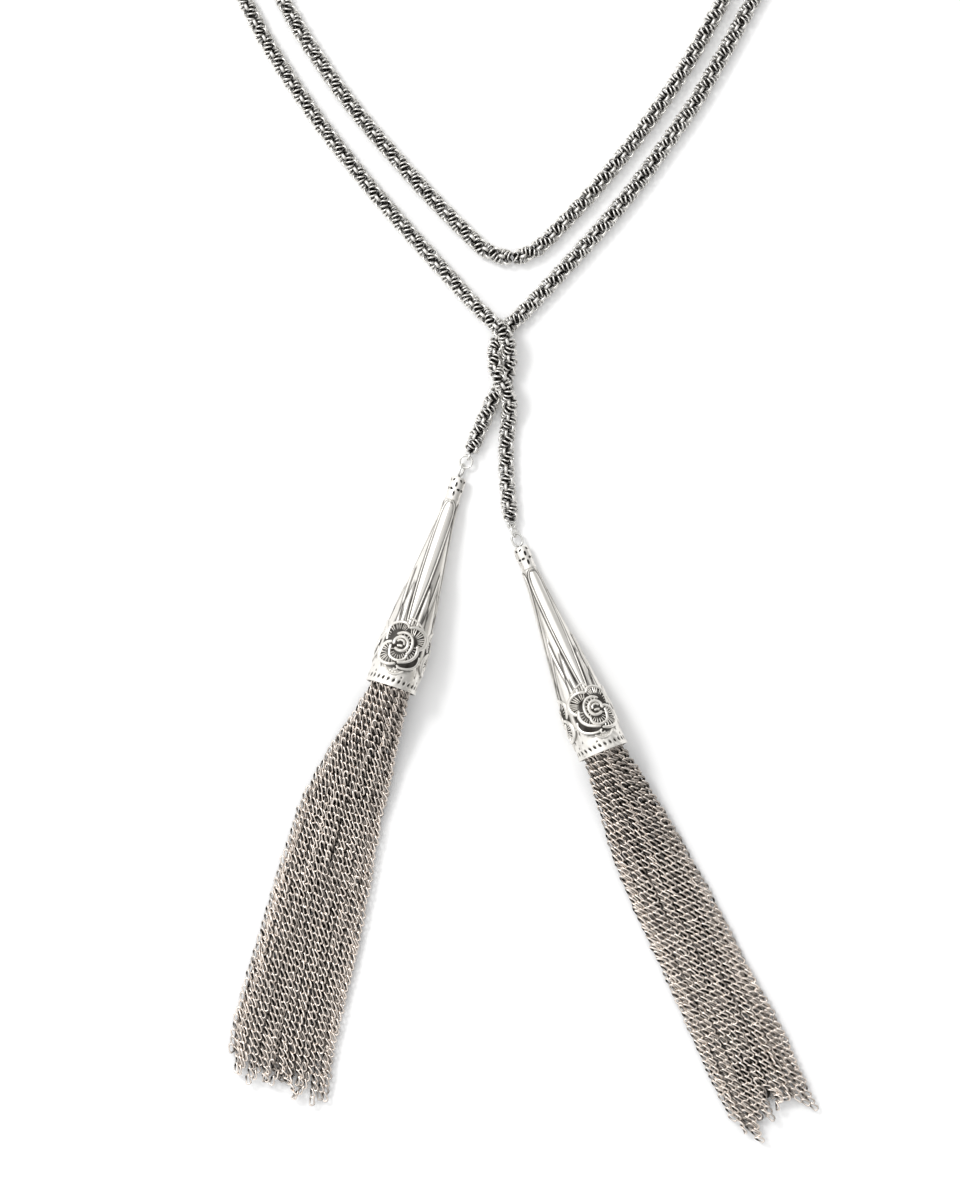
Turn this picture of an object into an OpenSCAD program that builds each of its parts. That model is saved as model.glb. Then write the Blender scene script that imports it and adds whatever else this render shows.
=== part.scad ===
// Lariat necklace: a long rope chain laid twice round the neck, its ends twisted once
// and finished with fluted cone caps and tassels of fine chain. It lies flat on a surface
// at z = 0, with the tassels towards -Y. The origin is the middle of the neck opening.

/* [Rope chain] */
// Outer diameter of the woven rope
rope_d = 4.6; // [4.2:0.1:5]
// Free space between strands that cross and between pieces that are linked
play = 0.2; // [0.1:0.05:0.25]
// Outer diameter of the last link, which closes the end of the rope
eye_d = 2.7; // [2.5:0.1:3]
// Wire of that last link
eye_wire = 0.7; // [0.6:0.05:0.75]

/* [Jump rings] */
// Outer diameter of the round jump rings
ring_d = 4.2; // [4:0.1:5]
// Wire of the jump rings
ring_wire = 0.7; // [0.6:0.05:0.75]

/* [Cone caps] */
// Length of a cone cap from the top of its crown to its rim
cone_l = 62; // [58:1:66]
// Outer radius of the rim
rim_r = 7.1; // [6.9:0.1:7.5]
// Outer radius of the narrow neck under the crown
neck_r = 1.8; // [1.7:0.1:2]
// Wall of the casting
cone_wall = 0.8; // [0.6:0.1:0.9]
// Length of the pierced crown
crown_l = 6.2; // [5.6:0.2:7]
// Outer radius of the crown at its widest
crown_r = 2.25; // [2.2:0.05:2.4]
// Height of the long petals above the cone
petal_h = 0.35; // [0.25:0.05:0.5]
// Diameter of a rose
rose_d = 13.6; // [12.6:0.2:14]
// Height of a rose's outer petals above the cone
rose_h = 1; // [0.8:0.1:1.2]

/* [Tassels] */
// Length of a tassel from the cone's rim to its longest chain
tassel_l = 117; // [100:1:130]
// Width of the left tassel near its end
left_tassel_w = 29; // [26:1:32]
// Width of the right tassel near its end
right_tassel_w = 25; // [23:1:28]
// Thickness of the chains where they lie flat
tassel_h = 4.6; // [4:0.2:6]
// Thickness of the pin that carries the chains
pin_d = 1; // [0.8:0.1:1.1]
// Wire of the pin's eye
pin_eye_wire = 0.6; // [0.5:0.05:0.65]
// Outer width of the pin's oval eye
pin_eye_w = 3.4; // [3.2:0.1:3.8]
// Straight length between the round ends of that eye
pin_eye_straight = 0.8; // [0.6:0.1:1.4]

/* [Hidden] */

silver = [0.72, 0.71, 0.68];
dark_silver = [0.45, 0.44, 0.42];
rope_sides = 10;
ring_fn = 40;
rope_r = rope_d / 2;
strand_step = rope_d + play;
// Longest stretch of rope between two rings of the tube
ring_step = 14;

// Routes of the two halves of the rope, from the eye at the tassel to the bottom of the inner loop.
// Columns: x, y, and the height in strands above the surface.
LEFT_ROUTE = [
    [-8.9, -161.8, 0], [-7.2, -157.4, 0], [-5.3, -153, 0], [-3.6, -149, 0], [-1.9, -145.6, 0],
    [0, -142.6, 0], [1.8, -139.4, 0.14], [2.4, -135.4, 0.5], [1.8, -131.4, 0.88], [0, -128, 1.05],
    [-3.8, -124.4, 0.75], [-8.6, -119.4, 0.2], [-13.5, -113.8, 0],
    [-19, -107.8, 0], [-29, -96.6, 0], [-38.5, -85.4, 0], [-47.4, -74.2, 0], [-55.5, -63, 0],
    [-63, -51.6, 0], [-69.4, -40.4, 0], [-76.4, -24, 0], [-80, 0, 0], [-76, 25, 0],
    [-65, 46.5, 0], [-48.5, 63, 0], [-27, 74, 0.2], [-13.5, 76.6, 0.75], [0, 75.6, 1.08],
    [13.5, 72.2, 0.75], [25, 67.6, 0.2], [44, 56, 0], [60, 38.5, 0], [69, 18.5, 0],
    [71.4, -2, 0], [67.6, -22, 0], [58.8, -40.6, 0], [45.2, -63, 0], [28, -85.4, 0],
    [12.6, -102, 0], [8.2, -105.2, 0], [4.6, -106.8, 0], [2.9, -106.8, 0]];
RIGHT_ROUTE = [
    [2.6, -181, 0], [1.8, -175, 0], [1.2, -167, 0], [1.2, -159, 0], [1.8, -153, 0],
    [2.1, -149, 0.35], [1.7, -145.6, 0.78], [0, -142.6, 1.05], [-1.8, -139.4, 0.88],
    [-2.4, -135.4, 0.5], [-1.8, -131.4, 0.14], [0, -128, 0], [4, -124.2, 0], [9.2, -119, 0],
    [19.6, -107.8, 0], [29.6, -96.6, 0], [38.6, -85.4, 0], [46.6, -74.2, 0], [54.4, -63, 0],
    [61, -51.6, 0], [67.2, -40.4, 0], [75.2, -24, 0], [80, 0, 0], [76, 25, 0],
    [65, 46.5, 0], [48.5, 63, 0], [27, 74, 0], [13.5, 76.6, 0], [0, 75.6, 0],
    [-13.5, 72.2, 0], [-25, 67.6, 0], [-44, 56, 0], [-60, 38.5, 0], [-69, 18.5, 0],
    [-71, -2, 0], [-67, -22, 0], [-58.2, -40.6, 0], [-43.2, -63, 0], [-24.2, -85.4, 0],
    [-8, -102, 0], [-3.8, -105.2, 0], [0.6, -106.8, 0], [2.8, -106.8, 0]];

// Headings of the jump rings and the cones, in degrees from +X
left_ring_heading = -121;
right_ring_heading = -71;
left_cone_heading = -108;
right_cone_heading = -68;
// Rolls of the rope's last links, the jump rings and the pins' eyes, in degrees
left_end_roll = 0;
right_end_roll = 90;
left_ring_roll = 90;
right_ring_roll = 20;
left_pin_roll = 20;
right_pin_roll = 90;

// Outline of the cone's plain body. Columns: share of the cone's length, share of the way
// from the neck's radius to the rim's.
CONE_OUTLINE = [[0.08, 0], [0.2, 0.1], [0.3, 0.22], [0.4, 0.36], [0.5, 0.51], [0.6, 0.66],
                [0.7, 0.79], [0.8, 0.88], [0.9, 0.95], [1, 1]];
// Long petals in one third of the cone. Columns: middle in degrees from the rose, share of the
// length where the tip starts, half width in degrees at the tip's shoulder and at the rose.
LONG_PETALS = [[0, 0.11, 33, 30], [60, 0.43, 17, 24], [-60, 0.43, 17, 24]];
PETAL_SHARES = [0.09, 0.13, 0.19, 0.27, 0.36, 0.43, 0.48, 0.56, 0.63];
BAND_SHARES = [0.947, 0.955, 1];
INNER_SHARES = [1, 0.8, 0.45, 0.09];
body_columns = 66;
rose_rows = 14;
roses = 3;
// A rose in rings of petals. Columns: petals in the ring, share of the radius at their foot
// and at their rim, share of the height at the rim, turn of the ring in degrees.
ROSE_RINGS = [[5, 0.45, 1, 1, 18], [4, 0.2, 0.66, 1.3, 50], [2, 0, 0.34, 1.6, 0]];
rose_share = 0.82;
band_h = 0.15;
slot_rows = 2;
slots_in_row = 6;

// How a tassel spreads out. Columns: share of its length, drift to the right of the cone's
// axis as a share of the length, share of the final width, share of the way down to flat.
LEFT_SPREAD = [[0, 0, 0.415, 0], [0.07, -0.005, 0.5, 0.25], [0.16, -0.014, 0.65, 0.55],
               [0.33, -0.022, 0.85, 0.85], [0.5, -0.011, 0.95, 0.95], [0.66, 0.002, 1, 1],
               [0.86, 0.012, 1.05, 1], [1, 0.029, 1.1, 1]];
RIGHT_SPREAD = [[0, 0, 0.48, 0], [0.06, 0.003, 0.58, 0.25], [0.13, 0.006, 0.66, 0.55],
                [0.26, 0.011, 0.84, 0.85], [0.4, 0.018, 0.9, 0.95], [0.54, 0.029, 0.93, 1],
                [0.82, 0.05, 1, 1], [1, 0.058, 0.98, 1]];
// Length of each lock of chains as a share of the longest, from left to right
LEFT_ENDS = [0.95, 1, 0.995, 0.985, 0.975, 0.99, 0.985, 1, 0.99];
RIGHT_ENDS = [0.935, 1, 0.985, 0.965, 0.955, 0.945, 0.94, 0.96, 0.985];
lock_overlap = 1.3;
// Rounded section of a lock. Columns: share of the half width, share of the height.
LOCK_SECTION = [[-1, 0.25], [-0.55, 0], [0.55, 0], [1, 0.25], [1, 0.8], [0.4, 1], [-0.4, 1], [-1, 0.8]];
head_l = 9;
tip_l = 1.2;
// Free space between a tassel and the inside of its cone
head_play = play + 0.1;
// Length of pin between the crown's top and the pin's eye
pin_out = 0.2;
// Share of the eye's wire that the pin reaches into
pin_hold = 0.4;

function unit(v) = v / norm(v);
function heading(a) = [cos(a), sin(a), 0];
function mix(a, b, t) = a + (b - a) * t;
function clamped(t) = min(1, max(0, t));
function smooth(t) = clamped(t) * clamped(t) * (3 - 2 * clamped(t));
function column(table, c) = [for (row = table) [row[0], row[c]]];
function lifted(p) = [p[0], p[1], rope_r + p[2] * strand_step];

// Smooth curve through the points of a route
function at(route, i) = lifted(route[min(len(route) - 1, max(0, i))]);
function on_curve(a, b, c, d, t) = 0.5 * (2 * b + (c - a) * t + (2 * a - 5 * b + 4 * c - d) * t * t
    + (3 * b - a - 3 * c + d) * t * t * t);
function steps_between(a, b) = max(1, round(norm(b - a) / ring_step));
function curve(route) = [
    for (i = [0 : len(route) - 2])
        for (k = [0 : steps_between(at(route, i), at(route, i + 1)) - 1])
            on_curve(at(route, i - 1), at(route, i), at(route, i + 1), at(route, i + 2),
                     k / steps_between(at(route, i), at(route, i + 1))),
    lifted(route[len(route) - 1])];
function direction(path, i) = unit(path[min(len(path) - 1, i + 1)] - path[max(0, i - 1)]);
function side(d) = unit(cross([0, 0, 1], d));
function ring_points(path, i, r, n) =
    let (d = direction(path, i), s = side(d), u = cross(d, s))
    [for (k = [0 : n - 1]) path[i] + r * (cos(360 * k / n) * s + sin(360 * k / n) * u)];

// Faces of a skin over rings of n points that run anticlockwise seen from its far end
function skin_walls(rings, n, closed = false) = [
    for (i = [0 : rings - (closed ? 1 : 2)]) for (k = [0 : n - 1])
        let (j = (i + 1) % rings, next = (k + 1) % n)
        each [[i * n + k, j * n + next, i * n + next], [i * n + k, j * n + k, j * n + next]]];
function skin_faces(rings, n) = concat(
    skin_walls(rings, n), [[for (k = [0 : n - 1]) k], [for (k = [n - 1 : -1 : 0]) (rings - 1) * n + k]]);

module tube(path, r, n) {
    polyhedron([for (i = [0 : len(path) - 1]) each ring_points(path, i, r, n)], skin_faces(len(path), n));
}

// Turns the Z axis to the given heading, tilted up by slope, then rolls about it
module lay(place, azimuth, slope = 0, roll = 0) {
    translate(place) rotate([0, 0, azimuth]) rotate([0, 90 - slope, 0]) rotate([0, 0, roll]) children();
}

module wire_ring(mid_r, wire, fn = ring_fn) {
    rotate_extrude($fn = fn) translate([mid_r, 0]) circle(d = wire, $fn = ring_fn);
}

// Places, worked out from the end of the rope down to the tassels
eye_mid = (eye_d - eye_wire) / 2;
ring_mid = (ring_d - ring_wire) / 2;
left_path = curve(LEFT_ROUTE);
right_path = curve(RIGHT_ROUTE);
function rope_heading(path) = let (d = path[0] - path[1]) atan2(d[1], d[0]);
function eye_centre(path) = path[0] + eye_mid * unit(path[0] - path[1]);

// The pin's oval eye, measured from the crown's top along the cone's axis
pin_eye_mid = (pin_eye_w - pin_eye_wire) / 2;
pin_eye_reach = pin_out + pin_eye_wire / 2 + pin_eye_mid + pin_eye_straight;
linked_at = pin_eye_reach + pin_eye_mid - pin_eye_wire / 2 - play - ring_wire / 2;

// Shapes of the cone, in its own frame: Z from the crown's top to the rim, X towards the surface below
function cone_r(z) = mix(neck_r, rim_r, lookup(z / cone_l, CONE_OUTLINE));
function away(a, b) = abs(((a - b + 540) % 360) - 180);
function petal_raise(row, angle, share) =
    let (grow = clamped((share - row[1]) / 0.12),
         wide = clamped((share - row[1]) / (rose_share - row[1])),
         half = mix(row[2], row[3], wide) * sqrt(grow))
    share < row[1] ? 0 : smooth((half - away(angle, row[0])) / 5 + 0.5);
// Height of a rose at a distance and direction from its middle
function rose_petal(ring, i, rho, phi) =
    let (span = 360 / ring[0] * 0.6, off = away(phi, ring[4] + 360 / ring[0] * i) / span,
         foot = ring[1] * rose_d / 2, rim = ring[2] * rose_d / 2 * (1 - 0.12 * off * off),
         rise = clamped((rho - foot) / (rim - foot)))
    off > 1 || rho > rim ? 0 : ring[3] * rose_h * (0.3 + 0.7 * rise * rise);
function rose_relief(angle, z) =
    let (across = angle * PI / 180 * (cone_r(rose_share * cone_l) + rose_h), along = z - rose_share * cone_l,
         rho = norm([across, along]), phi = atan2(across, along))
    rho > rose_d / 2 ? 0
        : max([for (ring = ROSE_RINGS) for (i = [0 : ring[0] - 1]) rose_petal(ring, i, rho, phi)]);
function relief(angle, share) =
    let (third = ((angle + 180 / roses) % (360 / roses)) - 180 / roses)
    max(share > 0.95 ? band_h : 0,
        share > rose_share ? 0 : petal_h * max([for (row = LONG_PETALS) petal_raise(row, third, share)]),
        rose_relief(third, share * cone_l));
// The front of the cone is away from the surface below
function outer_point(angle, share) =
    let (r = cone_r(share * cone_l) + relief(angle + 180, share))
    [r * cos(angle), r * sin(angle), share * cone_l];
function inner_point(angle, share) =
    let (r = cone_r(share * cone_l) - cone_wall)
    [r * cos(angle), r * sin(angle), share * cone_l];
rose_reach = 1.04 * rose_d / 2 / cone_l;
rose_shares = [for (i = [0 : rose_rows - 1]) rose_share + rose_reach * (2 * i / (rose_rows - 1) - 1)];
body_shares = concat(PETAL_SHARES, rose_shares, BAND_SHARES);
column_angles = [for (k = [0 : body_columns - 1]) 360 * k / body_columns];
outer_points = [for (share = body_shares) for (a = column_angles) outer_point(a, share)];

// Outside of the crown, as radius and distance from its top
crown_mid = 0.42 * crown_l;
collar = 0.4;
crown_outside = [[crown_r - 0.35, 0], [crown_r - 0.1, collar], [crown_r, crown_mid],
                 [neck_r + 0.15, crown_l - collar], [neck_r + 0.35, crown_l],
                 [neck_r + 0.3, crown_l + collar]];

// The cone rests on the top of its crown and on the lower petals of the two roses beneath
low_x = max([for (p = outer_points) p[0]]);
low_z = max([for (p = outer_points) if (p[0] > low_x - 0.01) p[2]]);
cone_slope = asin((low_x - crown_outside[1][0]) / (low_z - crown_outside[1][1]));
low_points = concat([for (c = crown_outside) [c[0], 0, c[1]]], outer_points);
cone_lift = max([for (p = low_points) p[0] * cos(cone_slope) - p[2] * sin(cone_slope)]);

// Where a cone starts, from the end of its rope and the ring between them
function axis_dir(azimuth) = cos(cone_slope) * heading(azimuth) + [0, 0, sin(cone_slope)];
function link_drop(path) = cone_lift - linked_at * sin(cone_slope) - path[0][2];
function link_point(path, ring_azimuth) =
    let (eye = eye_centre(path), flat = sqrt(4 * ring_mid * ring_mid - pow(link_drop(path), 2)))
    [eye[0], eye[1], path[0][2]] + flat * heading(ring_azimuth) + [0, 0, link_drop(path)];
function cone_start(path, ring_azimuth, azimuth) =
    link_point(path, ring_azimuth) + linked_at * axis_dir(azimuth);
left_start = cone_start(left_path, left_ring_heading, left_cone_heading);
right_start = cone_start(right_path, right_ring_heading, right_cone_heading);

// roll = 0 stands the ring on edge, roll = 90 lays it flat
module end_eye(path, roll) {
    lay(eye_centre(path), rope_heading(path), 0, roll) rotate([90, 0, 0]) wire_ring(eye_mid, eye_wire);
}

module rope_half(path, roll) {
    color(dark_silver) {
        tube(path, rope_r, rope_sides);
        end_eye(path, roll);
    }
}

module jump_ring(path, ring_azimuth, roll) {
    eye = eye_centre(path);
    link = link_point(path, ring_azimuth);
    slope = asin((link[2] - eye[2]) / (2 * ring_mid));
    color(silver) lay((eye + link) / 2, ring_azimuth, slope, roll)
        rotate([90, 0, 0]) wire_ring(ring_mid, ring_wire);
}

module cone_body() {
    inner_points = [for (share = INNER_SHARES) for (a = column_angles) inner_point(a, share)];
    polyhedron(concat(outer_points, inner_points),
               skin_walls(len(body_shares) + len(INNER_SHARES), body_columns, true));
}

module hull_of(points) {
    hull() polyhedron(points, [[for (i = [0 : len(points) - 1]) i]]);
}

module crown_wall() {
    rotate_extrude($fn = 36) polygon(concat(crown_outside, [
        [neck_r - 0.1, crown_l + 2 * collar], [neck_r - cone_wall, crown_l + 2 * collar],
        [neck_r - cone_wall + 0.1, crown_l - collar], [crown_r - cone_wall, crown_mid],
        [crown_r - cone_wall - 0.35, 0]]));
}

module crown_slots() {
    pitch = crown_l * 0.4;
    for (row = [0 : slot_rows - 1])
        for (k = [0 : slots_in_row - 1])
            translate([0, 0, 0.14 * crown_l + pitch * (row + 0.5)])
                rotate([0, 0, 360 / slots_in_row * (k + row / 2)])
                    rotate([0, 90, 0])
                        linear_extrude(crown_r + 1)
                            polygon([[-0.42 * pitch, 0], [-0.1 * pitch, 0.19 * crown_r],
                                     [0.2 * pitch, 0.19 * crown_r], [0.42 * pitch, 0],
                                     [0.2 * pitch, -0.19 * crown_r], [-0.1 * pitch, -0.19 * crown_r]]);
}

module cone_cap(start, azimuth) {
    color(silver) lay(start, azimuth, cone_slope) {
        cone_body();
        difference() {
            crown_wall();
            crown_slots();
        }
    }
}

// A tassel's own path: from the rim along the cone's heading, down to the surface
function mouth(start, azimuth) = start + cone_l * axis_dir(azimuth);
function right_of(azimuth) = [-sin(azimuth), cos(azimuth), 0];
bundle_r = rim_r - cone_wall - head_play;
function spread(table, s, c) = lookup(s, column(table, c));
function tassel_top(s, u, table, rim) =
    let (down = spread(table, s, 3), round_part = sqrt(1 - 0.92 * u * u))
    mix(rim[2] + bundle_r * round_part, tassel_h * mix(1, round_part, 0.35), down);
function tassel_low(s, u, table, rim) =
    let (down = spread(table, s, 3), round_part = sqrt(1 - 0.92 * u * u))
    mix(rim[2] - bundle_r * round_part, 0, smooth(down * 1.15));
// Section of one lock: u is its place across the tassel, fat under 1 draws it in
function lock_section(s, u, locks, table, width, rim, azimuth, fat = 1) =
    let (w = width * spread(table, s, 2), half = w / locks / 2 * lock_overlap,
         low = tassel_low(s, u, table, rim), tall = tassel_top(s, u, table, rim) - low,
         base = [rim[0], rim[1], 0] + s * tassel_l * heading(azimuth)
             + (spread(table, s, 1) * tassel_l + u * (w / 2 - half)) * right_of(azimuth))
    [for (c = LOCK_SECTION)
        base + fat * c[0] * half * right_of(azimuth) + [0, 0, low + tall * (0.5 + fat * (c[1] - 0.5))]];

module lock(i, ends, table, width, rim, azimuth) {
    locks = len(ends);
    u = 2 * i / (locks - 1) - 1;
    stops = [for (row = table) row[0] * ends[i]];
    sections = [for (s = stops) each lock_section(s, u, locks, table, width, rim, azimuth)];
    polyhedron(sections, skin_faces(len(stops), len(LOCK_SECTION)));
    // Rounded end
    reach = tip_l / tassel_l;
    hull_of(concat(lock_section(ends[i] - reach, u, locks, table, width, rim, azimuth, 0.96),
                   lock_section(ends[i] + reach, u, locks, table, width, rim, azimuth, 0.6)));
}

// Closed tube along a round trip of points in the XZ plane
module closed_tube(path, r, n) {
    m = len(path);
    points = [for (i = [0 : m - 1])
        let (d = unit(path[(i + 1) % m] - path[(i + m - 1) % m]), s = [0, 1, 0], u = cross(d, s))
        each [for (k = [0 : n - 1]) path[i] + r * (cos(360 * k / n) * s + sin(360 * k / n) * u)]];
    polyhedron(points, skin_walls(m, n, true));
}

module pin_eye() {
    low = -pin_out - pin_eye_wire / 2 - pin_eye_mid;
    closed_tube([for (end = [0, 1]) for (a = [0 : 22.5 : 180])
        [pin_eye_mid * cos(a + end * 180), 0,
         low - end * pin_eye_straight + pin_eye_mid * sin(a + end * 180)]], pin_eye_wire / 2, 8);
}

module tassel_head() {
    top = cone_l - head_l;
    clear = cone_wall + head_play;
    translate([0, 0, -pin_out - pin_hold * pin_eye_wire]) cylinder(d = pin_d, h = top + 1, $fn = 10);
    translate([0, 0, top])
        cylinder(r1 = cone_r(top) - clear, r2 = bundle_r - 0.1, h = head_l + 1.5, $fn = 24);
}

module tassel(start, azimuth, eye_roll, ends, table, width) {
    rim = mouth(start, azimuth);
    color(dark_silver) union() {
        lay(start, azimuth, cone_slope) {
            rotate([0, 0, eye_roll]) pin_eye();
            tassel_head();
        }
        for (i = [0 : len(ends) - 1]) lock(i, ends, table, width, rim, azimuth);
    }
}

module rope_chain_left_half() { rope_half(left_path, left_end_roll); }
module rope_chain_right_half() { rope_half(right_path, right_end_roll); }
module jump_ring_left() { jump_ring(left_path, left_ring_heading, left_ring_roll); }
module jump_ring_right() { jump_ring(right_path, right_ring_heading, right_ring_roll); }
module cone_cap_left() { cone_cap(left_start, left_cone_heading); }
module cone_cap_right() { cone_cap(right_start, right_cone_heading); }
module tassel_left() {
    tassel(left_start, left_cone_heading, left_pin_roll, LEFT_ENDS, LEFT_SPREAD, left_tassel_w);
}
module tassel_right() {
    tassel(right_start, right_cone_heading, right_pin_roll, RIGHT_ENDS, RIGHT_SPREAD, right_tassel_w);
}

rope_chain_left_half();
rope_chain_right_half();
jump_ring_left();
jump_ring_right();
cone_cap_left();
cone_cap_right();
tassel_left();
tassel_right();
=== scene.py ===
import math

import bmesh
import bpy
import numpy as np
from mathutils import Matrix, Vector


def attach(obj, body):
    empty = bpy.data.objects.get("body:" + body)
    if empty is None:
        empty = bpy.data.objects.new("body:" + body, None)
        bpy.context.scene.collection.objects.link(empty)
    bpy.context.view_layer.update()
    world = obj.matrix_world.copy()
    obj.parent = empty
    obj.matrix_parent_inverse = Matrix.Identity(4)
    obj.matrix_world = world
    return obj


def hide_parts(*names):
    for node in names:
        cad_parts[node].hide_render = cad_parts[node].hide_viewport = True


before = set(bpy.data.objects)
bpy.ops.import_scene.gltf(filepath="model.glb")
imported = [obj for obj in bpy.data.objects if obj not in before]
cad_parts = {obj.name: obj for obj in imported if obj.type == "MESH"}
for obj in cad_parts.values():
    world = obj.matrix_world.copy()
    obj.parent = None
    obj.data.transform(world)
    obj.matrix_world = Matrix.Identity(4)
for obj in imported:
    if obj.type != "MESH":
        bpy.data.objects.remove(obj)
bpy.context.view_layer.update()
random = np.random.default_rng(412)
mm = 0.001

# The photo's frame: its centre and height in a plane just above the surface, and the camera's lens
VIEW_CENTRE = (-6.2 * mm, -203.3 * mm)
VIEW_HEIGHT = 336.6 * mm
VIEW_PLANE = 4 * mm
LENS = 100
SENSOR = 36

# The white surface and the soft lamp above it, in metres and watts
FLOOR_SIZE = 14.0
LAMP_PLACE = (-0.6, 0.3, 0.9)
LAMP_SIZE = 0.3
LAMP_POWER = 4.5
# The sky: the way to its bright side, its strength there and on the dim side, and the cosines of
# the angle to the bright side between which it changes
BRIGHT_SIDE = (-0.7, 0.35, 0.6)
BRIGHT_SKY = 1.25
DIM_SKY = 0.45
SKY_CHANGE = (-0.45, 0.85)

# Silver plate: fineness and strength of the patches at the edge of the painted darkening, the roughness
# where it is darkest, and the height of the fine grain
PATCH_SCALE = 260.0
PATCHINESS = 0.35
DARK_ROUGHNESS = 0.65
GRAIN_HEIGHT = 0.05 * mm

# Rope chain, in mm: the sizes and routes of the solid rope, with the knot drawn 0.25 mm tighter,
# since the weave is thinner than the solid between its strands
ROPE_D = 4.6
# Across the weave itself, and from one strand up to another where two cross
WOVEN_D = 4.52
STRAND_STEP = 4.8
# The eye at each end, and how far it is rolled about the rope in degrees
EYE_D = 2.7
EYE_WIRE = 0.7
LEFT_EYE_ROLL = 0
RIGHT_EYE_ROLL = 90
# Steps round an eye and sides of its wire, here and on the tassels' pins
EYE_STEPS = 28
EYE_SIDES = 10
# Steps of the curve from each point of a route to the next
ROUTE_STEPS = 20
# Columns: x, y, and the height in strands above the surface
LEFT_ROUTE = [
    (-8.9, -161.8, 0), (-7.2, -157.4, 0), (-5.3, -153, 0), (-3.6, -149, 0), (-1.9, -145.6, 0),
    (0, -142.6, 0), (1.6, -139.4, 0.14), (2.15, -135.4, 0.5), (1.6, -131.4, 0.88), (0, -128, 1.05),
    (-3.8, -124.4, 0.75), (-8.6, -119.4, 0.2), (-13.5, -113.8, 0),
    (-19, -107.8, 0), (-29, -96.6, 0), (-38.5, -85.4, 0), (-47.4, -74.2, 0), (-55.5, -63, 0),
    (-63, -51.6, 0), (-69.4, -40.4, 0), (-76.4, -24, 0), (-80, 0, 0), (-76, 25, 0),
    (-65, 46.5, 0), (-48.5, 63, 0), (-27, 74, 0.2), (-13.5, 76.6, 0.75), (0, 75.6, 1.08),
    (13.5, 72.2, 0.75), (25, 67.6, 0.2), (44, 56, 0), (60, 38.5, 0), (69, 18.5, 0),
    (71.4, -2, 0), (67.6, -22, 0), (58.8, -40.6, 0), (45.2, -63, 0), (28, -85.4, 0),
    (12.6, -102, 0), (8.2, -105.2, 0), (4.6, -106.8, 0), (2.9, -106.8, 0)]
RIGHT_ROUTE = [
    (2.6, -181, 0), (1.8, -175, 0), (1.2, -167, 0), (1.2, -159, 0), (1.8, -153, 0),
    (2.1, -149, 0.35), (1.7, -145.6, 0.78), (0, -142.6, 1.05), (-1.6, -139.4, 0.88),
    (-2.15, -135.4, 0.5), (-1.6, -131.4, 0.14), (0, -128, 0), (4, -124.2, 0), (9.2, -119, 0),
    (19.6, -107.8, 0), (29.6, -96.6, 0), (38.6, -85.4, 0), (46.6, -74.2, 0), (54.4, -63, 0),
    (61, -51.6, 0), (67.2, -40.4, 0), (75.2, -24, 0), (80, 0, 0), (76, 25, 0),
    (65, 46.5, 0), (48.5, 63, 0), (27, 74, 0), (13.5, 76.6, 0), (0, 75.6, 0),
    (-13.5, 72.2, 0), (-25, 67.6, 0), (-44, 56, 0), (-60, 38.5, 0), (-69, 18.5, 0),
    (-71, -2, 0), (-67, -22, 0), (-58.2, -40.6, 0), (-43.2, -63, 0), (-24.2, -85.4, 0),
    (-8, -102, 0), (-3.8, -105.2, 0), (0.6, -106.8, 0), (2.8, -106.8, 0)]

# The weave: two strands of stacked rings and two of lengthwise rings, all turning together
WEAVE_PITCH = 10.0
STACK_STEP = 0.86
STACK_TILT = 28
# How much the rings differ from their place round the rope and from that tilt, in degrees
LOOSE_TURN = 5
LOOSE_TILT = 7
RUNG_STEP = 1.667
# How far the strands spread sideways on the surface, as a share of their distance from the rope's
# middle, the Y below which they do, and the way over which that sets in
ROPE_SPREAD = 0.2
SPREAD_FROM = -30.0
SPREAD_OVER = 10.0
RING_OD = 2.6
RING_WIRE = 0.5
# How much wider the wire of a lengthwise ring is along the ring's axis
RUNG_FLAT = 1.9
RING_STEPS = 10
WIRE_SIDES = 5
# Bare length at each end of the rope, before its first ring
END_ROOM = 0.5
# Share of the rope's radius outside which it is all bright, and over which painted shade darkens it inwards
BRIGHT_FROM = 0.84
DARKENS_OVER = 0.31

# Cones, in mm along the axis from the crown's top
CONE_L = 62.0
RIM_R = 7.1
NECK_R = 1.8
CROWN_L = 6.2
CROWN_R = 2.25
WALL = 0.8
ROSE_AT = 0.82 * CONE_L
PETAL_H = 0.35
ROSES = 3
# From a rose's middle, how far the cone swells under it
ROSE_REACH = 7.0
# From the middle of the roses to the band
BAND_BELOW = 6.8
# How far the lip and the band stand out, and how deep the punched marks go
LIP_RISE = 0.1
BAND_RISE = 0.06
MARK_DEPTH = 0.22
# Edges that bend by more degrees than this stay sharp
SHARP_EDGE = 50
# The points of a cone's rim, and no others, lie this close behind its foremost one
RIM_SLICE = 2.2
# Share of the length, and share of the way from the neck's radius to the rim's
CONE_OUTLINE = [(0.08, 0), (0.2, 0.1), (0.3, 0.22), (0.4, 0.36), (0.5, 0.51), (0.6, 0.66),
                (0.7, 0.79), (0.8, 0.88), (0.9, 0.95), (1, 1)]

# Headings of the cones and tassels, in degrees from +X
LEFT_HEADING = -108
RIGHT_HEADING = -68

# How far each cone has rolled about its axis, in degrees
LEFT_CONE_ROLL = 4
RIGHT_CONE_ROLL = -17

# Tassels, in mm
TASSEL_L = 117.0
LEFT_TASSEL_W = 29.0
RIGHT_TASSEL_W = 25.0
TASSEL_H = 4.6
# Links of the chains on top and of those hidden below them: length, width, wire
TOP_LINK = (3.26, 1.95, 0.56)
LOW_LINK = (4.6, 2.4, 0.8)
LINK_SLACK = 0.04
# A link's twist from its middle to its end, its roll about its own length and its lean in the
# chain, in degrees
LINK_TWIST = -40
LINK_ROLL = 35
LINK_LEAN = 20
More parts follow.
